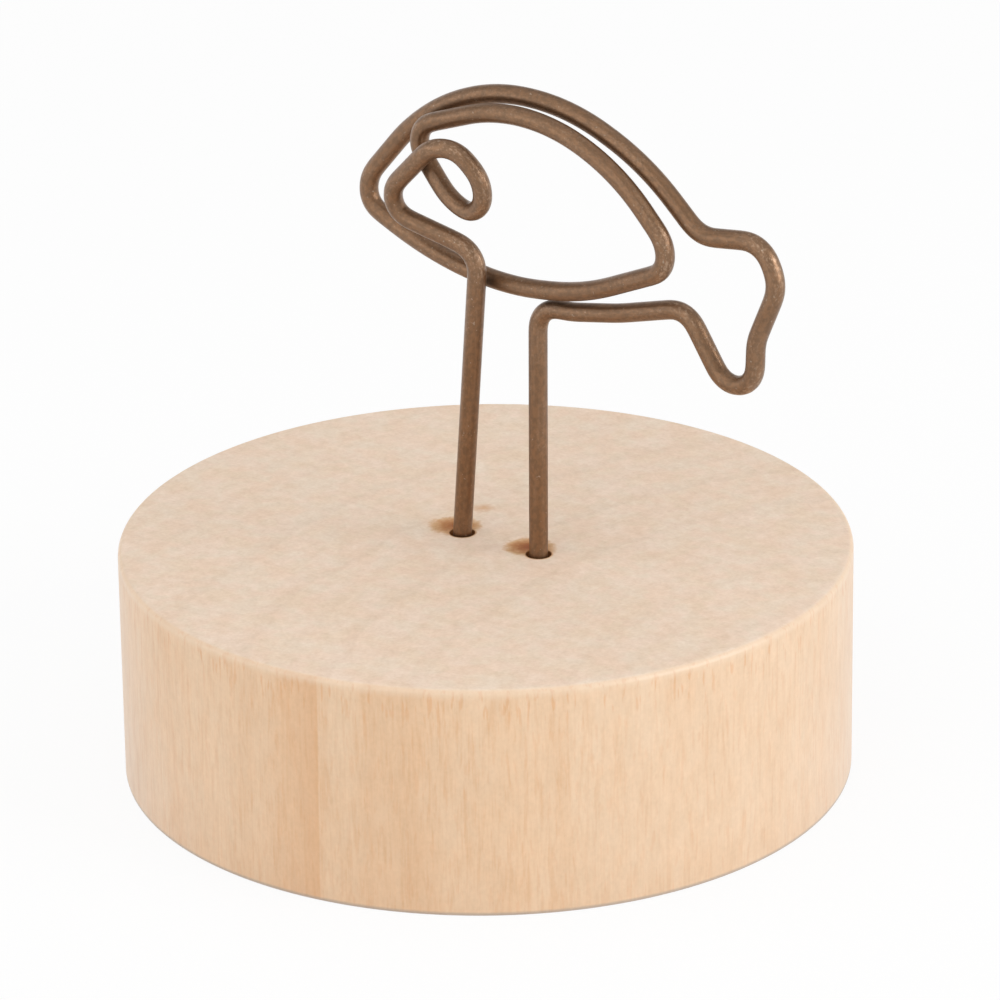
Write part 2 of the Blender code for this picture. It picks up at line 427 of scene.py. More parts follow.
# Growth rings: the middle of the tree, their spacing and wander, and where in each spacing
# the late wood is full, begins to fade and ends
PITH_X = 57.0 * MM
PITH_Y = -6.2 * MM
RING_SPACING = 3.7 * MM
RING_WANDER = 4.0 * MM
RING_FULL = 0.10
RING_FADE = 0.05
RING_END = 0.60

# Broad rings, from the pith: one dark with a sharp inner edge, one warmer, and the paler middle
BROAD_WANDER = 0.5 * MM
DARK_RING_START = 56.4 * MM
DARK_RING_END = 62.0 * MM
DARK_RING_EDGE = 0.15 * MM
WARM_RING_START = 45.8 * MM
WARM_RING_END = 53.6 * MM
WARM_RING_EDGE = 1.6 * MM
PALE_WOOD_FULL = 33.0 * MM
PALE_WOOD_END = 41.0 * MM

# Noise in the wood: (stretch out from the pith, along the rings and up), scale, detail, roughness
RING_WAY = ((1.0, 1.0, 0.25), 110.0, 3.0, 0.6)
RAY_WAY = ((0.14, 1.0, 0.3), 4600.0, 3.0, 0.6)
RING_LINE_WAY = ((1.0, 0.16, 0.3), 2600.0, 4.0, 0.65)

# Noise that runs up the tree: stretch up, scale, detail, roughness
WOOD_PATTERNS = {
    "Pore": (0.8, 3300.0, 1.5, 0.6),
    "Fibre": (0.06, 5200.0, 4.0, 0.65),
    "Streak": (0.10, 2100.0, 3.0, 0.55),
    "Dash": (0.17, 2900.0, 1.0, 0.5),
    "Blotch": (0.6, 1100.0, 2.0, 0.5),
    "Cloud": (0.35, 300.0, 3.0, 0.55),
    "Hue": (0.5, 560.0, 1.0, 0.5),
}

# Long grain, made of patterns. Masks: (name, pattern, where it begins, where it is full)
SIDE_MASKS = (
    ("Warm Patches", "Hue", 0.36, 0.64),
    ("Warm Clouds", "Cloud", 0.66, 0.34),
    ("Fibres", "Fibre", 0.44, 0.66),
    ("Streaks", "Streak", 0.50, 0.70),
    ("Dashes", "Dash", 0.57, 0.68),
)
# Layers of colour from the lowest up: (mask, share, colour)
SIDE_LAYERS = (
    ("Warm Patches", 0.24, "warm_side"),
    ("Pale Wood", 0.26, "pale_side"),
    ("Warm Clouds", 0.09, "streak"),
    ("Ring", 0.16, "streak"),
    ("Dark Ring", 0.60, "band"),
    ("Warm Ring", 0.18, "streak"),
    ("Fibres", 0.17, "streak"),
    ("Streaks", 0.34, "streak"),
    ("Dashes", 0.44, "dash"),
)
# How far each pattern swings the tone, and how strongly red, green and blue follow it:
# darker grain is also warmer
SIDE_SWINGS = {"Fibre": -0.04, "Streak": -0.04, "Pore": 0.15, "Blotch": 0.15, "Cloud": 0.10}
SIDE_PULLS = (0.80, 0.93, 1.20)
SIDE_GRAIN = (SIDE_MASKS, SIDE_LAYERS, SIDE_SWINGS, SIDE_PULLS)

# Dashes fade from full near the upper rim to a share further down
DASHES_FULL = 0.8 * MM
DASHES_FADED = 4.0 * MM
DASHES_LOW_SHARE = 0.35

# How much of the streaks and fibres is left in the paler wood
QUIET_SHARE = 0.62

# End grain, in the same way
END_MASKS = (
    ("Warm Patches", "Cloud", 0.66, 0.34),
    ("Pink Patches", "Hue", 0.38, 0.62),
    ("Rays", "Ray", 0.52, 0.72),
)
END_LAYERS = (
    ("Warm Patches", 1.0, "warm"),
    ("Pink Patches", 0.20, "pink"),
    ("Ring", 0.20, "ring"),
    ("Rays", 0.22, "ring"),
)
END_SWINGS = {"Ray": 0.08, "Ring Line": 0.08, "Pore": 0.21, "Blotch": 0.24, "Cloud": 0.14}
END_PULLS = (0.76, 1.02, 1.38)
END_GRAIN = (END_MASKS, END_LAYERS, END_SWINGS, END_PULLS)

# Where the end grain begins: parts of the rim's rounding in from the rim, and how softly
END_INSET = 0.45
END_SOFTNESS = 0.10 * MM

# Rims: how thickly the painted highlight on the upper rim and the painted shade on the lower rim
# lie, how wavy the painted highlight is, and where they fade, in from the rim, over the top and
# over the table
RIM_HIGHLIGHT_SHARE = 0.44
RIM_WAVE = 0.8 * MM
RIM_INSETS = (0.42 * MM, 0.16 * MM)
RIM_RISES = (-0.55 * MM, 0.10 * MM)
# Painted shade along the lower rim: how thickly it lies, and the heights over which it fades
FOOT_SHADE_SHARE = 0.75
FOOT_SHADE_HEIGHTS = (0.12 * MM, 0.42 * MM)

# Painted shadows beside the feet and one fleck in the wood: hole, millimetres from it along X and
# Y, width and depth in millimetres, strength. They lie askew to the figure, by radians about the
# upright
HEAD_HOLE, TAIL_HOLE = 0, 1
FOOT_SHADOWS = (
    (HEAD_HOLE, -1.36, 0.83, 2.35, 2.1, 1.08),
    (HEAD_HOLE, -0.16, 1.53, 0.85, 1.4, 0.60),
    (TAIL_HOLE, -1.50, 0.72, 2.25, 2.0, 1.24),
    (TAIL_HOLE, -0.10, 1.10, 1.00, 1.3, 0.54),
)
SHADOW_RAGGEDNESS = 0.5
FLECK = (HEAD_HOLE, -1.70, 5.10, 1.2, 1.1, 0.75)
FLECK_RAGGEDNESS = 0.9
PATCH_TURN = math.radians(-36.6)
PATCH_CORE = 0.12
RAGGED_NOISE = (1800.0, 3.0, 0.6)

# Painted shade round the lip of a hole and on its wall, and where the painted shadows and shade
# fade:
# in depth under the top for those on top and on the wall, and in distance from the wall
LIP_WIDTH = 0.22 * MM
LIP_SHARE = 0.42
WALL_SHARE = 0.70
TOP_DEPTHS = (0.10 * MM, 0.02 * MM)
WALL_DEPTHS = (0.03 * MM, 0.10 * MM)
WALL_REACHES = (0.30 * MM, 0.10 * MM)

# Finish of the wood: roughness of the side, how much drier the end grain is, varnish and relief
SIDE_ROUGHNESS = (0.46, 0.58)
END_DRYNESS = 0.12
VARNISH_ROUGHNESS = 0.35
WOOD_RELIEF = (0.012 * MM, 0.6)

# Pattern values between which the roughness of wood, wire and glue changes
ROUGHNESS_RANGE = (0.3, 0.7)


def make_wood_grain_group():
    """Solid wood round an upright pith: rings, rays and fibres, the same all through the block."""
    tree, entry = new_group("Wood Grain", {"Vector": (0.0, 0.0, 0.0)})
    vector = entry["Vector"]
    from_pith = add_vector_math(tree, "SUBTRACT", "From Pith", vector, (PITH_X, PITH_Y, 0.0))
    x, y, z = add_parts(tree, from_pith)
    reach = add_reach(tree, "Distance From Pith", x, y)
    away = add_math(tree, "MULTIPLY", "Away", x, -1.0)
    turn = add_math(tree, "ARCTAN2", "Turn", y, away)
    along_ring = add_math(tree, "MULTIPLY", "Along Ring", turn, PITH_X)

    # The rings wander a little, as a real tree's do, and some are darker than others
    wander = add_pattern(tree, "Wander", vector, *RING_WAY)
    shift = add_math(tree, "MULTIPLY_ADD", "Shift", wander, RING_WANDER, -RING_WANDER / 2)
    radius = add_math(tree, "ADD", "Ring Radius", reach, shift)
    count = add_math(tree, "DIVIDE", "Ring Count", radius, RING_SPACING)
    part = add_math(tree, "FRACT", "Ring Part", count)
    rise = add_range(tree, "Ring Edge", part, 0.0, RING_FULL)
    fall = add_range(tree, "Ring Fade", part, RING_FADE, RING_END, 1.0, 0.0)
    ring = add_math(tree, "MULTIPLY", "Ring", rise, fall)
    number = add_math(tree, "FLOOR", "Ring Number", count)
    uneven = add_node(tree, "TexWhiteNoise", "Uneven Rings", {"W": number}, noise_dimensions="1D")
    outputs = {"Ring": add_math(tree, "MULTIPLY", "Uneven Ring", ring, uneven.outputs["Value"])}

    # The broad rings wander less
    steady = add_math(tree, "MULTIPLY_ADD", "Slight Shift", wander, BROAD_WANDER, -BROAD_WANDER / 2)
    steady = add_math(tree, "ADD", "Steady Radius", reach, steady)
    edge = add_range(tree, "Dark Edge", steady, DARK_RING_START, DARK_RING_START + DARK_RING_EDGE)
    fade = add_range(tree, "Dark Fade", steady, DARK_RING_START, DARK_RING_END, 1.0, 0.0, False)
    outputs["Dark Ring"] = add_math(tree, "MULTIPLY", "Dark Ring", edge, fade)
    begin = add_range(tree, "Warm Begin", steady, WARM_RING_START, WARM_RING_START + WARM_RING_EDGE)
    end = add_range(tree, "Warm End", steady, WARM_RING_END, WARM_RING_END - WARM_RING_EDGE)
    outputs["Warm Ring"] = add_math(tree, "MULTIPLY", "Warm Ring", begin, end)
    outputs["Pale Wood"] = add_range(tree, "Pale Wood", steady, PALE_WOOD_END, PALE_WOOD_FULL)

    # Rays run out from the pith, fine lines run along the rings, and the rest runs up
    polar = add_vector(tree, "Round The Pith", radius, along_ring, z)
    outputs["Ray"] = add_pattern(tree, "Rays", polar, *RAY_WAY)
    outputs["Ring Line"] = add_pattern(tree, "Ring Lines", polar, *RING_LINE_WAY)
    for name, (stretch, *noise) in WOOD_PATTERNS.items():
        outputs[name] = add_pattern(tree, name, vector, (1.0, 1.0, stretch), *noise)
    finish_group(tree, outputs)


def make_patch_group():
    """A soft ragged patch about a place on a flat face, for painted shadows and flecks."""
    tree, entry = new_group("Soft Patch", {
        "Vector": (0.0, 0.0, 0.0), "Place": (0.0, 0.0, 0.0), "Turn": 0.0,
        "Width": 1.0 * MM, "Depth": 1.0 * MM, "Raggedness": 0.3,
    })
    vector = entry["Vector"]
    offset = add_vector_math(tree, "SUBTRACT", "Offset", vector, entry["Place"])
    turned = add_node(tree, "VectorRotate", "Turned", rotation_type="Z_AXIS",
                      inputs={"Vector": offset, "Angle": entry["Turn"]})
    x, y, z = add_parts(tree, turned.outputs[0])
    across = add_math(tree, "DIVIDE", "Across", x, entry["Width"])
    deep = add_math(tree, "DIVIDE", "Deep", y, entry["Depth"])
    far = add_reach(tree, "Distance", across, deep)
    noise = add_noise(tree, "Ragged Edge", vector, *RAGGED_NOISE)
    centred = add_math(tree, "SUBTRACT", "Centred", noise, 0.5)
    far = add_math(tree, "MULTIPLY_ADD", "Ragged Distance", centred, entry["Raggedness"], far)
    mask = add_range(tree, "Fade", far, PATCH_CORE, 1.0, 1.0, 0.0, smooth=False)
    finish_group(tree, {"Mask": mask})


def make_wood_material(props, holes):
    """Pale turned hardwood: long grain on the side, end grain on top, painted shade at the holes.
    """
    material, tree = new_material("Pale Hardwood")
    vector = add_node(tree, "TexCoord", "Place").outputs["Object"]
    grain = use_group(tree, "Wood Grain", {"Vector": vector})
    x, y, height = add_parts(tree, vector)
    from_axis = add_reach(tree, "From Axis", x, y)

    # Where the end grain shows: inside the rims of the top and the underside
    rim = props.diameter / 2 - END_INSET * props.rim_rounding
    inside = add_range(tree, "Inside The Rim", from_axis, rim + END_SOFTNESS, rim - END_SOFTNESS)
    middle = props.height / 2
    over_middle = add_math(tree, "SUBTRACT", "Over Middle", height, middle)
    near_end = add_range(
        tree, "Near An End", add_math(tree, "ABSOLUTE", "From Middle", over_middle),
        middle - 2.0 * props.rim_rounding, middle - props.rim_rounding)
    end_mask = add_math(tree, "MULTIPLY", "End Grain", inside, near_end)

    # Dashes fade towards the table, and the paler wood is quieter
    by_height = add_range(
        tree, "Under The Rim", height,
        props.height - DASHES_FADED, props.height - DASHES_FULL, DASHES_LOW_SHARE, 1.0)
    quiet = add_range(
        tree, "Quiet Pale Wood", grain["Pale Wood"], 0.0, 1.0, 1.0, QUIET_SHARE, smooth=False)
    gains = {"Dashes": by_height, "Streaks": quiet, "Fibres": quiet}
    side = paint_grain(tree, props, grain, props.side_colour, gains, *SIDE_GRAIN)
    end = paint_grain(tree, props, grain, props.end_colour, {}, *END_GRAIN)
    colour = add_mix(tree, "Side Or End", end_mask, side, end)
    colour = paint_rims(tree, props, grain, height, from_axis, colour)
    # Painted shadows beside the feet, painted shade on the lips and walls of the holes, and a fleck
    colour = paint_shade_and_fleck(tree, props, vector, holes, colour)
    rough = add_range(tree, "Side Roughness", grain["Fibre"], *ROUGHNESS_RANGE, *SIDE_ROUGHNESS)
    relief = add_math(tree, "ADD", "Relief", grain["Fibre"], grain["Ray"])
    return finish_material(material, {
        "Base Color": colour,
        "Roughness": add_math(tree, "MULTIPLY_ADD", "Roughness", end_mask, END_DRYNESS, rough),
        "Coat Weight": add_range(
            tree, "Varnish", end_mask, 0.0, 1.0, props.coat_weight, 0.0, smooth=False),
        "Coat Roughness": VARNISH_ROUGHNESS,
        "Normal": add_relief(tree, "Grain Relief", relief, *WOOD_RELIEF),
    })


def paint_grain(tree, props, grain, colour, gains, masks, layers, swings, pulls):
    """Long or end grain: layers over a plain colour, with some masks lowered, then shade."""
    shown = {name: grain[name] for name in ("Ring", "Dark Ring", "Warm Ring", "Pale Wood")}
    for name, pattern, low, high in masks:
        shown[name] = add_range(tree, name + " Mask", grain[pattern], low, high)
    for name, gain in gains.items():
        shown[name] = add_math(tree, "MULTIPLY", "Quieter " + name, shown[name], gain)
    colour = add_layers(tree, colour, [
        (name, shown[name], share, getattr(props, layer + "_colour"))
        for name, share, layer in layers])
    return add_shade(tree, "Shade", colour, grain, swings, pulls)


def paint_rims(tree, props, grain, height, from_axis, colour):
    """A painted highlight along the upper rim, and a thin line of painted shade along the lower
    one.
    """
    radius, top = props.diameter / 2, props.height
    wavy = add_math(tree, "MULTIPLY_ADD", "Wavy Height", grain["Streak"], RIM_WAVE, height)
    near_rim = add_range(tree, "Near Rim", from_axis, *[radius - inset for inset in RIM_INSETS])
    near_top = add_range(tree, "Near Top", wavy, *[top + rise for rise in RIM_RISES])
    rim = add_math(tree, "MULTIPLY", "Rim", near_rim, near_top)
    # Painted shade: darker along the lower rim, towards the table
    foot = add_range(tree, "Near Table", height, *FOOT_SHADE_HEIGHTS, 1.0, 0.0)
    return add_layers(tree, colour, (
        # painted highlight along the upper rim
        ("Painted Rim Highlight", rim, RIM_HIGHLIGHT_SHARE, props.rim_highlight_colour),
        # painted shade along the lower rim
        ("Painted Foot Shade", foot, FOOT_SHADE_SHARE, props.foot_shade_colour),
    ))


def add_patch(tree, props, vector, holes, patch, raggedness):
    """Mask of one painted shadow or fleck."""
    hole, along, back, width, depth, strength = patch
    mask = use_group(tree, "Soft Patch", {
        "Vector": vector,
        "Place": (holes[hole] + along * MM, back * MM, props.height),
        "Turn": PATCH_TURN,
        "Width": width * MM,
        "Depth": depth * MM,
        "Raggedness": raggedness,
    })["Mask"]
    return add_math(tree, "MULTIPLY", "Patch Share", mask, strength)


def paint_shade_and_fleck(tree, props, vector, holes, colour):
    """Painted shadows behind the holes on the left, painted shade on their lips and walls, one
    fleck.
    """
    x, y, height = add_parts(tree, vector)
    painted_shade = 0.0
    # Painted shadows beside the feet
    for patch in FOOT_SHADOWS:
        shadow = add_patch(tree, props, vector, holes, patch, SHADOW_RAGGEDNESS)
        painted_shade = add_math(tree, "MAXIMUM", "Foot Shadows", painted_shade, shadow)
    top, radius = props.height, props.hole_diameter / 2
    on_top = add_range(tree, "On Top", height, *[top - depth for depth in TOP_DEPTHS])
    painted_shade = add_math(tree, "MULTIPLY", "Stains On Top", painted_shade, on_top)
    below = add_range(tree, "Below The Top", height, *[top - depth for depth in WALL_DEPTHS])
    near_wall = [radius + reach for reach in WALL_REACHES]
    # Painted shade on the lip round each hole and on its wall
    for hole in holes:
        far = add_reach(tree, "From Hole", add_math(tree, "SUBTRACT", "Beside Hole", x, hole), y)
        lip = add_range(tree, "Hole Lip", far, radius, radius + LIP_WIDTH, LIP_SHARE, 0.0)
        wall = add_range(tree, "Hole Wall", far, *near_wall, 0.0, WALL_SHARE)
        wall = add_math(tree, "MULTIPLY", "Shaded Wall", wall, below)
        painted_shade = add_math(tree, "MAXIMUM", "Shaded Lip", painted_shade, lip)
        painted_shade = add_math(tree, "MAXIMUM", "Shaded Hole", painted_shade, wall)
    # Darken the wood where shade is painted
    colour = add_darkening(tree, "Hole Shade", colour, props.hole_shade_tint, painted_shade)
    fleck = add_patch(tree, props, vector, holes, FLECK, FLECK_RAGGEDNESS)
    return add_mix(tree, "Fleck", fleck, colour, props.fleck_colour)


# Metal

# Noise on the wire: stretch along it, scale, detail, roughness, where its mask begins and is full
WIRE_PATTERNS = {
    "Mottle": (0.65, 2900.0, 4.0, 0.62, 0.0, 1.0),
    "Zone": (0.40, 420.0, 2.0, 0.5, 0.42, 0.62),
    "Specks": (0.8, 5200.0, 3.0, 0.55, 0.51, 0.65),
    "Lines": (0.06, 3600.0, 2.0, 0.5, 0.40, 0.75),
    "Pits": (1.0, 3400.0, 1.0, 0.5, 0.71, 0.79),
    "Grain": (0.6, 8000.0, 3.0, 0.6, 0.0, 1.0),
}

# Mottle values between which the patina thickens
THICK_PATINA = (0.62, 0.38)

# How strongly bends, zones, specks and mottle rub the patina through
BEND_RUB = 1.8
ZONE_RUB = 0.30
SPECK_RUB = 0.56
MOTTLE_RUB = 0.20

# How thickly each layer lies
OLIVE_SHARE = 0.66
LINE_SHARE = 0.10
PIT_SHARE = 0.35
# Painted shade in the slots between layers
SLOT_SHADE_SHARE = 0.80

# Finish of the wire: how metallic, roughness by mottle, how much rougher the slots are, lacquer,
# relief
METALLIC = 0.8
WIRE_ROUGHNESS = (0.50, 0.38)
SLOT_ROUGHNESS = 0.25
LACQUER_ROUGHNESS = 0.28
MOTTLE_RELIEF = 0.8
WIRE_RELIEF = (0.010 * MM, 0.8)


def make_patina_group():
    """Antique finish that follows the wire: mottle, rubbed zones, copper specks and drawn lines."""
    tree, entry = new_group("Wire Patina", {
        "Coordinate": (0.0, 0.0, 0.0), "Length": 0.246, "Radius": 0.775 * MM})
    far, around, z = add_parts(tree, entry["Coordinate"])
    along = add_math(tree, "MULTIPLY", "Along", far, entry["Length"])
    angle = add_math(tree, "MULTIPLY", "Angle", around, math.tau)
    sides = [
        add_math(tree, "MULTIPLY", "Round", add_math(tree, way, "Turn", angle), entry["Radius"])
        for way in ("COSINE", "SINE")]
    straight = add_vector(tree, "Straightened Wire", along, *sides)
    outputs = {}
    for name, (stretch, *noise, low, high) in WIRE_PATTERNS.items():
        pattern = add_pattern(tree, name, straight, (stretch, 1.0, 1.0), *noise)
        outputs[name] = add_range(tree, name + " Mask", pattern, low, high, smooth=low > 0.0)
    finish_group(tree, outputs)


def make_wire_material(props, length):
    """Antique bronze wire: brown and olive patina, rubbed back to copper on the bends."""
    material, tree = new_material("Antique Bronze")
    place = add_node(tree, "UVMap", "Along The Wire", uv_map="UVMap")
    patina = use_group(tree, "Wire Patina", {
        "Coordinate": place.outputs[0], "Length": length, "Radius": props.diameter / 2})
    bend, slot = [
        add_node(tree, "Attribute", name, attribute_name=name).outputs["Fac"]
        for name in (BEND_MARK, SLOT_MARK)]
    mottle = patina["Mottle"]
    thick = add_range(tree, "Thick Patina", mottle, *THICK_PATINA)
    zones = add_math(tree, "MULTIPLY", "Zone Rub", patina["Zone"], ZONE_RUB)
    rubbed = add_math(tree, "MULTIPLY_ADD", "Rubbed Bends", bend, BEND_RUB, zones, clamp=True)
    plain_rub = add_math(tree, "MULTIPLY", "Mottle Rub", mottle, MOTTLE_RUB)
    specks = add_math(tree, "MULTIPLY_ADD", "Speck Rub", patina["Specks"], SPECK_RUB, plain_rub)
    colour = add_layers(tree, props.metal_colour, (
        ("Patina", thick, OLIVE_SHARE, props.olive_colour),
        ("Copper", rubbed, specks, props.copper_colour),
        ("Drawn Lines", patina["Lines"], LINE_SHARE, props.copper_colour),
        ("Pale Pits", patina["Pits"], PIT_SHARE, props.pit_colour),
        # painted shade in the slots between layers of the wire
        ("Painted Shade", slot, SLOT_SHADE_SHARE, props.slot_shade_colour),
    ))
    rough = add_range(tree, "Roughness", mottle, *ROUGHNESS_RANGE, *WIRE_ROUGHNESS)
    relief = add_math(tree, "MULTIPLY_ADD", "Relief", mottle, MOTTLE_RELIEF, patina["Grain"])
    return finish_material(material, {
        "Base Color": colour,
        "Roughness": add_math(tree, "MULTIPLY_ADD", "Rough Grime", slot, SLOT_ROUGHNESS, rough),
        "Metallic": METALLIC,
        "Coat Weight": props.lacquer_weight,
        "Coat Roughness": LACQUER_ROUGHNESS,
        "Normal": add_relief(tree, "Fine Relief", relief, *WIRE_RELIEF),
    })


# Glue

CLOUD_NOISE = (1500.0, 3.0, 0.5)
CLOUD_RANGE = (0.35, 0.65)
GLUE_ROUGHNESS = (0.22, 0.38)


def make_glue_material(props):
    """Set amber glue, a little cloudy."""
    material, tree = new_material("Set Glue")
    place = add_node(tree, "TexCoord", "Place")
    cloud = add_noise(tree, "Clouds", place.outputs["Object"], *CLOUD_NOISE)
    share = add_range(tree, "Cloud Mask", cloud, *CLOUD_RANGE)
    return finish_material(material, {
        "Base Color": add_mix(tree, "Amber", share, props.amber_colour, props.cloud_colour),
        "Roughness": add_range(tree, "Roughness", cloud, *ROUGHNESS_RANGE, *GLUE_ROUGHNESS),
    })


# Wire route

# The route is worked out in parts of a mesh step, and points within a tenth of one are the same
STEP_PARTS = 4
LEAST_ARC_PARTS = 3
EASING_ROUNDS = 2
SAME_POINT_PARTS = 10


def wire_corners(props, base_height):
    """The wire's corners from the rear foot to the front foot, as (corner, bend radius)."""
    half = props.foot_spacing / 2
    rear_x = props.foot_middle + half
    front_x = props.foot_middle - half
    pitch = props.diameter + props.card_slot
    run = base_height + props.run_height
    body = run + pitch
    foot_bend = base_height - props.foot_bend_depth
    foot_end = base_height - props.foot_depth
    corners = [
        (Vector((rear_x, 0.0, foot_end)), 0.0),
        (Vector((rear_x, 0.0, foot_bend)), props.foot_bend_radius),
    ]
    for rows, datum in ((TAIL_BENDS, run), (BODY_BENDS, body)):
        for along, layer, up, radius in rows:
            corner = Vector((rear_x + along * MM, -layer * pitch, datum + up * MM))
            corners.append((corner, radius * MM))
    corners.append((Vector((front_x, 0.0, foot_bend)), props.foot_bend_radius))
    corners.append((Vector((front_x, 0.0, foot_end)), 0.0))
    return corners


def bend_reaches(corners):
    """How far each bend reaches along its straights, with neighbours sharing a short straight."""
    reaches = [0.0] * len(corners)
    for i in range(1, len(corners) - 1):
        back = corners[i - 1][0] - corners[i][0]
        ahead = corners[i + 1][0] - corners[i][0]
        reaches[i] = corners[i][1] * math.tan((math.pi - back.angle(ahead)) / 2)
    shares = [1.0] * len(corners)
    for i in range(1, len(corners)):
        length = (corners[i][0] - corners[i - 1][0]).length
        wanted = reaches[i] + reaches[i - 1]
        if wanted > length:
            shares[i] = min(shares[i], length / wanted)
            shares[i - 1] = min(shares[i - 1], length / wanted)
    return [reach * share for reach, share in zip(reaches, shares)]


def bend_arc(before, corner, after, reach, chord):
    """Points of the arc that rounds a corner."""
    back = (before - corner).normalized()
    ahead = (after - corner).normalized()
    turn = math.pi - back.angle(ahead)
    radius = reach / math.tan(turn / 2)
    centre = corner + (back + ahead).normalized() * (radius / math.cos(turn / 2))
    outward = (corner + back * reach - centre).normalized()
    steps = max(LEAST_ARC_PARTS, math.ceil(radius * turn / chord))
    points = []
    for step in range(steps + 1):
        angle = turn * step / steps
        points.append(centre + radius * (math.cos(angle) * outward - math.sin(angle) * back))
    return points


def space_evenly(points, step):
    """Points a steady step apart along a line, and the line's length."""
    marks = [0.0]
    for start, end in zip(points, points[1:]):
        marks.append(marks[-1] + (end - start).length)
    length = marks[-1]
    steps = round(length / step)
    spaced = []
    segment = 0
    for number in range(steps + 1):
        mark = length * number / steps
        while segment < len(points) - 2 and marks[segment + 1] < mark:
            segment += 1
        share = (mark - marks[segment]) / (marks[segment + 1] - marks[segment])
        spaced.append(points[segment].lerp(points[segment + 1], min(1.0, max(0.0, share))))
    return spaced, length


def ease_bends(points, reach):
    """Let each bend begin and end gradually: every point becomes the mean of its neighbours."""
    sums = [Vector((0.0, 0.0, 0.0))]
    for point in points:
        sums.append(sums[-1] + point)
    eased = []
    for i in range(len(points)):
        side = min(reach, i, len(points) - 1 - i)
        eased.append((sums[i + side + 1] - sums[i - side]) / (2 * side + 1))
    return eased


def even_route(props, base_height):
    """Centre line of the wire in even steps, and its length."""
    corners = wire_corners(props, base_height)
    reaches = bend_reaches(corners)
    fine = props.step / STEP_PARTS
    least = fine / SAME_POINT_PARTS
    points = [corners[0][0]]
    for i in range(1, len(corners) - 1):
        arc = bend_arc(corners[i - 1][0], corners[i][0], corners[i + 1][0], reaches[i], fine)
        points += [point for point in arc if (point - points[-1]).length > least]
    points.append(corners[-1][0])
    points, length = space_evenly(points, fine)
    for repeat in range(EASING_ROUNDS):
        points = ease_bends(points, round(props.bend_easing / fine))
    return space_evenly(points, props.step)


def mark_wire(wire, route, props):
    """Store on each point how far it is outside a bend, and how near another layer."""
    radius = props.diameter / 2
    reach = round(props.mark_reach / props.step)
    apart = round(math.tau * props.diameter / props.step)
    tree = KDTree(len(route))
    for i, place in enumerate(route):
        tree.insert(place, i)
    tree.balance()
    reach_out = radius + props.slot_reach
    bends, slots = [], []
    for vertex in wire.data.vertices:
        near, i, distance = tree.find(vertex.co)
        ahead = route[min(i + reach, len(route) - 1)]
        behind = route[max(i - reach, 0)]
        inward = (ahead + behind) / 2 - near
        bends.append((near - vertex.co).dot(inward) / (radius * reach * props.step))
        # Nearness to another layer, where shade is painted into the slots
        around = tree.find_range(vertex.co, reach_out)
        gap = min((far for place, j, far in around if abs(j - i) > apart), default=reach_out)
        slots.append(1.0 - max(0.0, gap - radius) / props.slot_reach)
    most = max(bends)
    marks = {BEND_MARK: [max(0.0, bend / most) for bend in bends], SLOT_MARK: slots}
    for name, values in marks.items():
        mark = wire.data.attributes.new(name, "FLOAT", "POINT")
        mark.data.foreach_set("value", values)


# Pieces

# Facets of the meshes, and the angles up to which they are smoothed
DISC_SIDES = 256
HOLE_SIDES = 64
UPPER_RIM_STEPS = 6
LOWER_RIM_STEPS = 3
WOOD_SMOOTHING = math.radians(30.0)
WIRE_SMOOTHING = math.radians(40.0)

# How far a drill stands over the base, and how near two points of the wire are merged
DRILL_OVERSHOOT = 2.0 * MM
MERGE_DISTANCE = 0.001 * MM


def turn_disc(props):
    base = start_cylinder(DISC_SIDES, props.diameter, props.height, (0.0, 0.0, props.height / 2))
    base.name = "Wood_Base_Turned"
    # Until its place is applied, the disc's own zero is at half its height
    select_parts(base, "EDGE", lambda edge: min(vert.co.z for vert in edge.verts) > 0.0)
    bpy.ops.mesh.bevel(offset=props.rim_rounding, segments=UPPER_RIM_STEPS, affect="EDGES")
    underside = 0.1 * MM - props.height / 2
    select_parts(base, "EDGE", lambda edge: max(vert.co.z for vert in edge.verts) < underside)
    bpy.ops.mesh.bevel(offset=props.lower_rounding, segments=LOWER_RIM_STEPS, affect="EDGES")
    apply_place(base)
    return base


def drill_hole(base, props, x):
    """Cut a blind hole with a small sanded edge at its mouth."""
    easing = props.hole_easing
    depth = props.hole_depth - easing
    middle = (x, 0.0, props.height - easing - depth / 2)
    drill = start_cylinder(HOLE_SIDES, props.hole_diameter, depth, middle)
    select_parts(drill, "FACE", lambda face: face.normal.z > 0.9)
    wide = 1.0 + 2.0 * easing / props.hole_diameter
    bpy.ops.mesh.extrude_region_move(TRANSFORM_OT_translate={"value": (0.0, 0.0, easing)})
    bpy.ops.transform.resize(value=(wide, wide, 1.0))
    bpy.ops.mesh.extrude_region_move(TRANSFORM_OT_translate={"value": (0.0, 0.0, DRILL_OVERSHOOT)})
    apply_place(drill)
    pick(base)
    cut = base.modifiers.new("foot_hole", "BOOLEAN")
    cut.operation = "DIFFERENCE"
    cut.solver = "EXACT"
    cut.object = drill
    bpy.ops.object.modifier_apply(modifier=cut.name)
    bpy.data.objects.remove(drill, do_unlink=True)


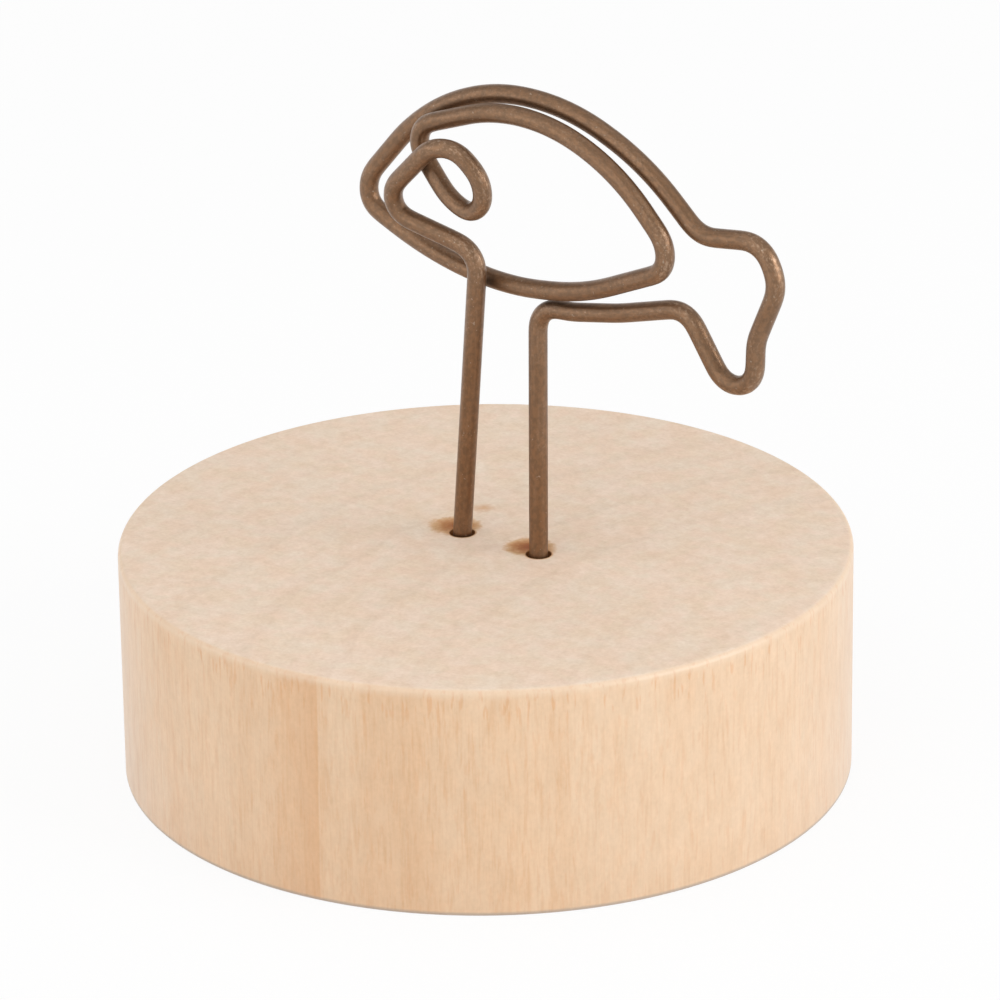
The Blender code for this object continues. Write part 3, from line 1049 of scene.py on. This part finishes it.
class MEMOCLIP_OT_wood_base(bpy.types.Operator):
    """Turn the wooden base, ease its rims and drill a hole for each foot"""

    bl_idname = "memo_clip.wood_base"
    bl_label = "Wood Base"

    def execute(self, context):
        base_props = context.scene.memo_clip_base
        wire_props = context.scene.memo_clip_wire
        base = turn_disc(base_props)
        half = wire_props.foot_spacing / 2
        holes = [wire_props.foot_middle - half, wire_props.foot_middle + half]
        for x in holes:
            drill_hole(base, base_props, x)
        pick(base)
        bpy.ops.object.shade_smooth_by_angle(angle=WOOD_SMOOTHING)
        make_wood_grain_group()
        make_patch_group()
        base.data.materials.append(make_wood_material(base_props, holes))
        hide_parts("wood_base")
        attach(base, BODY)
        return {"FINISHED"}


class MEMOCLIP_OT_wire_clip(bpy.types.Operator):
    """Bend one length of wire into the clip"""

    bl_idname = "memo_clip.wire_clip"
    bl_label = "Wire Clip"

    def execute(self, context):
        props = context.scene.memo_clip_wire
        route, length = even_route(props, context.scene.memo_clip_base.height)
        deselect_all()
        bpy.ops.curve.primitive_nurbs_path_add()
        wire = context.object
        wire.name = "Wire_Clip_Bent"
        curve = wire.data
        curve.splines.clear()
        line = curve.splines.new("POLY")
        line.points.add(len(route) - 1)
        for point, place in zip(line.points, route):
            point.co = (*place, 1.0)
        line.use_smooth = True
        curve.bevel_depth = props.diameter / 2
        curve.bevel_resolution = (props.sides - 4) // 2
        curve.use_fill_caps = True
        bpy.ops.object.convert(target="MESH")
        wire = context.object
        bpy.ops.object.mode_set(mode="EDIT")
        bpy.ops.mesh.select_all(action="SELECT")
        bpy.ops.mesh.remove_doubles(threshold=MERGE_DISTANCE)
        bpy.ops.mesh.normals_make_consistent(inside=False)
        bpy.ops.object.mode_set(mode="OBJECT")
        bpy.ops.object.shade_smooth_by_angle(angle=WIRE_SMOOTHING)
        mark_wire(wire, route, props)
        make_patina_group()
        wire.data.materials.append(make_wire_material(props, length))
        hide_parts("wire_clip")
        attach(wire, BODY)
        return {"FINISHED"}


class MEMOCLIP_OT_glue(bpy.types.Operator):
    """Finish the set glue round each foot"""

    bl_idname = "memo_clip.glue"
    bl_label = "Glue"

    def execute(self, context):
        material = make_glue_material(context.scene.memo_clip_glue)
        for name in ("adhesive_tail_side", "adhesive_head_side"):
            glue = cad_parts[name]
            for place in glue.material_slots:
                place.link = "OBJECT"
                place.material = material
        return {"FINISHED"}


# Stage

WHITE = (1.0, 1.0, 1.0, 1.0)
FLOOR_ROUGHNESS = 0.9
FLOOR_SPECULAR = 0.1

# Heights of a look between which the white backdrop gives way to the ceiling
BACKDROP_END = 0.18
CEILING_START = 0.60

# Where the photograph was taken from: place in metres, then heading, pitch and roll in degrees
CAMERA_PLACE = (0.2873, -0.3798, 0.22206)
CAMERA_TURNS = ((36.959, "Z"), (67.2975, "X"), (-0.755, "Z"))
SENSOR_WIDTH = 36.0

# Softboxes: heading of the camera seen from the holder, what they face and how far off they hang,
# then each with degrees right of the camera, degrees up, width in metres, and its power's setting
CAMERA_HEADING = -52.9
LAMP_TARGET = Vector((0.0, 0.0, 0.03))
LAMP_DISTANCE = 0.65
SOFTBOXES = (
    ("Right_Softbox", 65.0, 20.0, 0.42, "right_power"),
    ("Left_Softbox", -65.0, 28.0, 0.80, "left_power"),
    ("Front_Softbox", -18.0, 36.0, 0.22, "front_power"),
    ("Top_Softbox", 0.0, 88.0, 1.20, "top_power"),
)


def seen_rays(tree):
    """One where the eye, a reflection or a view through something meets the surface."""
    path = add_node(tree, "LightPath", "Rays").outputs
    seen = add_math(tree, "MAXIMUM", "Eye Or Gloss", path["Is Camera Ray"], path["Is Glossy Ray"])
    return add_math(tree, "MAXIMUM", "Or Through", seen, path["Is Transmission Ray"])


def show_instead(tree, output, share, lit, seen):
    """Show one shader in place of another by a share, and arrange the nodes."""
    mixer = add_node(tree, "MixShader", "Seen White", [share, lit.outputs[0], seen.outputs[0]])
    tree.links.new(mixer.outputs[0], tree.nodes[output].inputs["Surface"])
    arrange_nodes(tree)


def lay_table(props):
    deselect_all()
    bpy.ops.mesh.primitive_plane_add(size=props.floor_size, location=(0.0, 0.0, 0.0))
    floor = bpy.context.object
    floor.name = "Table_Top"
    material, tree = new_material("Pale Table")
    finish_material(material, {
        "Base Color": props.floor_colour,
        "Roughness": FLOOR_ROUGHNESS,
        "Specular IOR Level": FLOOR_SPECULAR,
    })
    glow = add_node(tree, "Emission", "White Ground", {"Color": WHITE})
    share = add_math(tree, "MULTIPLY", "White Share", seen_rays(tree), props.ground_white)
    show_instead(tree, "Material Output", share, tree.nodes["Principled BSDF"], glow)
    floor.data.materials.append(material)


def light_room(context, props):
    """A soft sky for the light, and a white backdrop under a dimmer ceiling for the eye."""
    world = bpy.data.worlds.new("Soft Room")
    context.scene.world = world
    world.use_nodes = True
    tree = world.node_tree
    room = tree.nodes["Background"]
    room.inputs["Color"].default_value = WHITE
    room.inputs["Strength"].default_value = props.sky_strength
    way = add_node(tree, "TexCoord", "Way").outputs["Generated"]
    x, y, up = add_parts(tree, way)
    strength = add_range(tree, "Backdrop To Ceiling", up, BACKDROP_END, CEILING_START,
                         1.0, props.ceiling_strength)
    backdrop = add_node(
        tree, "Background", "White Backdrop", {"Color": WHITE, "Strength": strength})
    show_instead(tree, "World Output", seen_rays(tree), room, backdrop)


def add_softbox(name, turn, rise, width, power):
    """A square soft lamp that faces the holder, by degrees right of the camera and up."""
    heading = math.radians(CAMERA_HEADING + turn)
    rise = math.radians(rise)
    way = Vector((
        math.cos(rise) * math.cos(heading),
        math.cos(rise) * math.sin(heading),
        math.sin(rise),
    ))
    deselect_all()
    bpy.ops.object.light_add(
        type="AREA",
        location=LAMP_TARGET + LAMP_DISTANCE * way,
        rotation=way.to_track_quat("Z", "Y").to_euler(),
    )
    lamp = bpy.context.object
    lamp.name = name
    lamp.data.size = width
    lamp.data.energy = power
    lamp.visible_camera = False


def set_camera(context, props):
    heading, pitch, roll = [
        Matrix.Rotation(math.radians(degrees), 4, axis) for degrees, axis in CAMERA_TURNS]
    turn = (heading @ pitch @ roll).to_euler()
    deselect_all()
    bpy.ops.object.camera_add(location=CAMERA_PLACE, rotation=turn)
    camera = context.object
    camera.name = "Photo_Camera"
    camera.data.sensor_width = SENSOR_WIDTH
    camera.data.lens = props.lens
    context.scene.camera = camera


class MEMOCLIP_OT_stage(bpy.types.Operator):
    """Lay the table, hang the lamps and set the camera"""

    bl_idname = "memo_clip.stage"
    bl_label = "Stage"

    def execute(self, context):
        props = context.scene.memo_clip_stage
        lay_table(props)
        light_room(context, props)
        for name, turn, rise, width, power in SOFTBOXES:
            add_softbox(name, turn, rise, width, getattr(props, power))
        set_camera(context, props)
        context.scene.view_settings.view_transform = "Standard"
        return {"FINISHED"}


class MEMOCLIP_PT_panel(bpy.types.Panel):
    """Sidebar panel of the memo clip holder"""

    bl_label = "Memo Clip Holder"
    bl_idname = "MEMOCLIP_PT_panel"
    bl_space_type = "VIEW_3D"
    bl_region_type = "UI"
    bl_category = "Memo Clip"

    def draw(self, context):
        for name, operator in zip(SETTINGS, OPERATORS):
            props = getattr(context.scene, name)
            box = self.layout.box()
            box.label(text=operator.bl_label)
            for key in props.bl_rna.properties.keys():
                if key not in {"rna_type", "name"}:
                    box.prop(props, key)
            box.operator(operator.bl_idname)


# Settings and operators in the same order
SETTINGS = {
    "memo_clip_base": MemoClipBaseSettings,
    "memo_clip_wire": MemoClipWireSettings,
    "memo_clip_glue": MemoClipGlueSettings,
    "memo_clip_stage": MemoClipStageSettings,
}
OPERATORS = (MEMOCLIP_OT_wood_base, MEMOCLIP_OT_wire_clip, MEMOCLIP_OT_glue, MEMOCLIP_OT_stage)
CLASSES = (*SETTINGS.values(), *OPERATORS, MEMOCLIP_PT_panel)


def register():
    for cls in CLASSES:
        bpy.utils.register_class(cls)
    for name, group in SETTINGS.items():
        setattr(bpy.types.Scene, name, bpy.props.PointerProperty(type=group))


def unregister():
    for name in SETTINGS:
        delattr(bpy.types.Scene, name)
    for cls in reversed(CLASSES):
        bpy.utils.unregister_class(cls)


def main():
    register()
    bpy.ops.memo_clip.wood_base()
    bpy.ops.memo_clip.wire_clip()
    bpy.ops.memo_clip.glue()
    bpy.ops.memo_clip.stage()


if __name__ == "__main__":
    main()
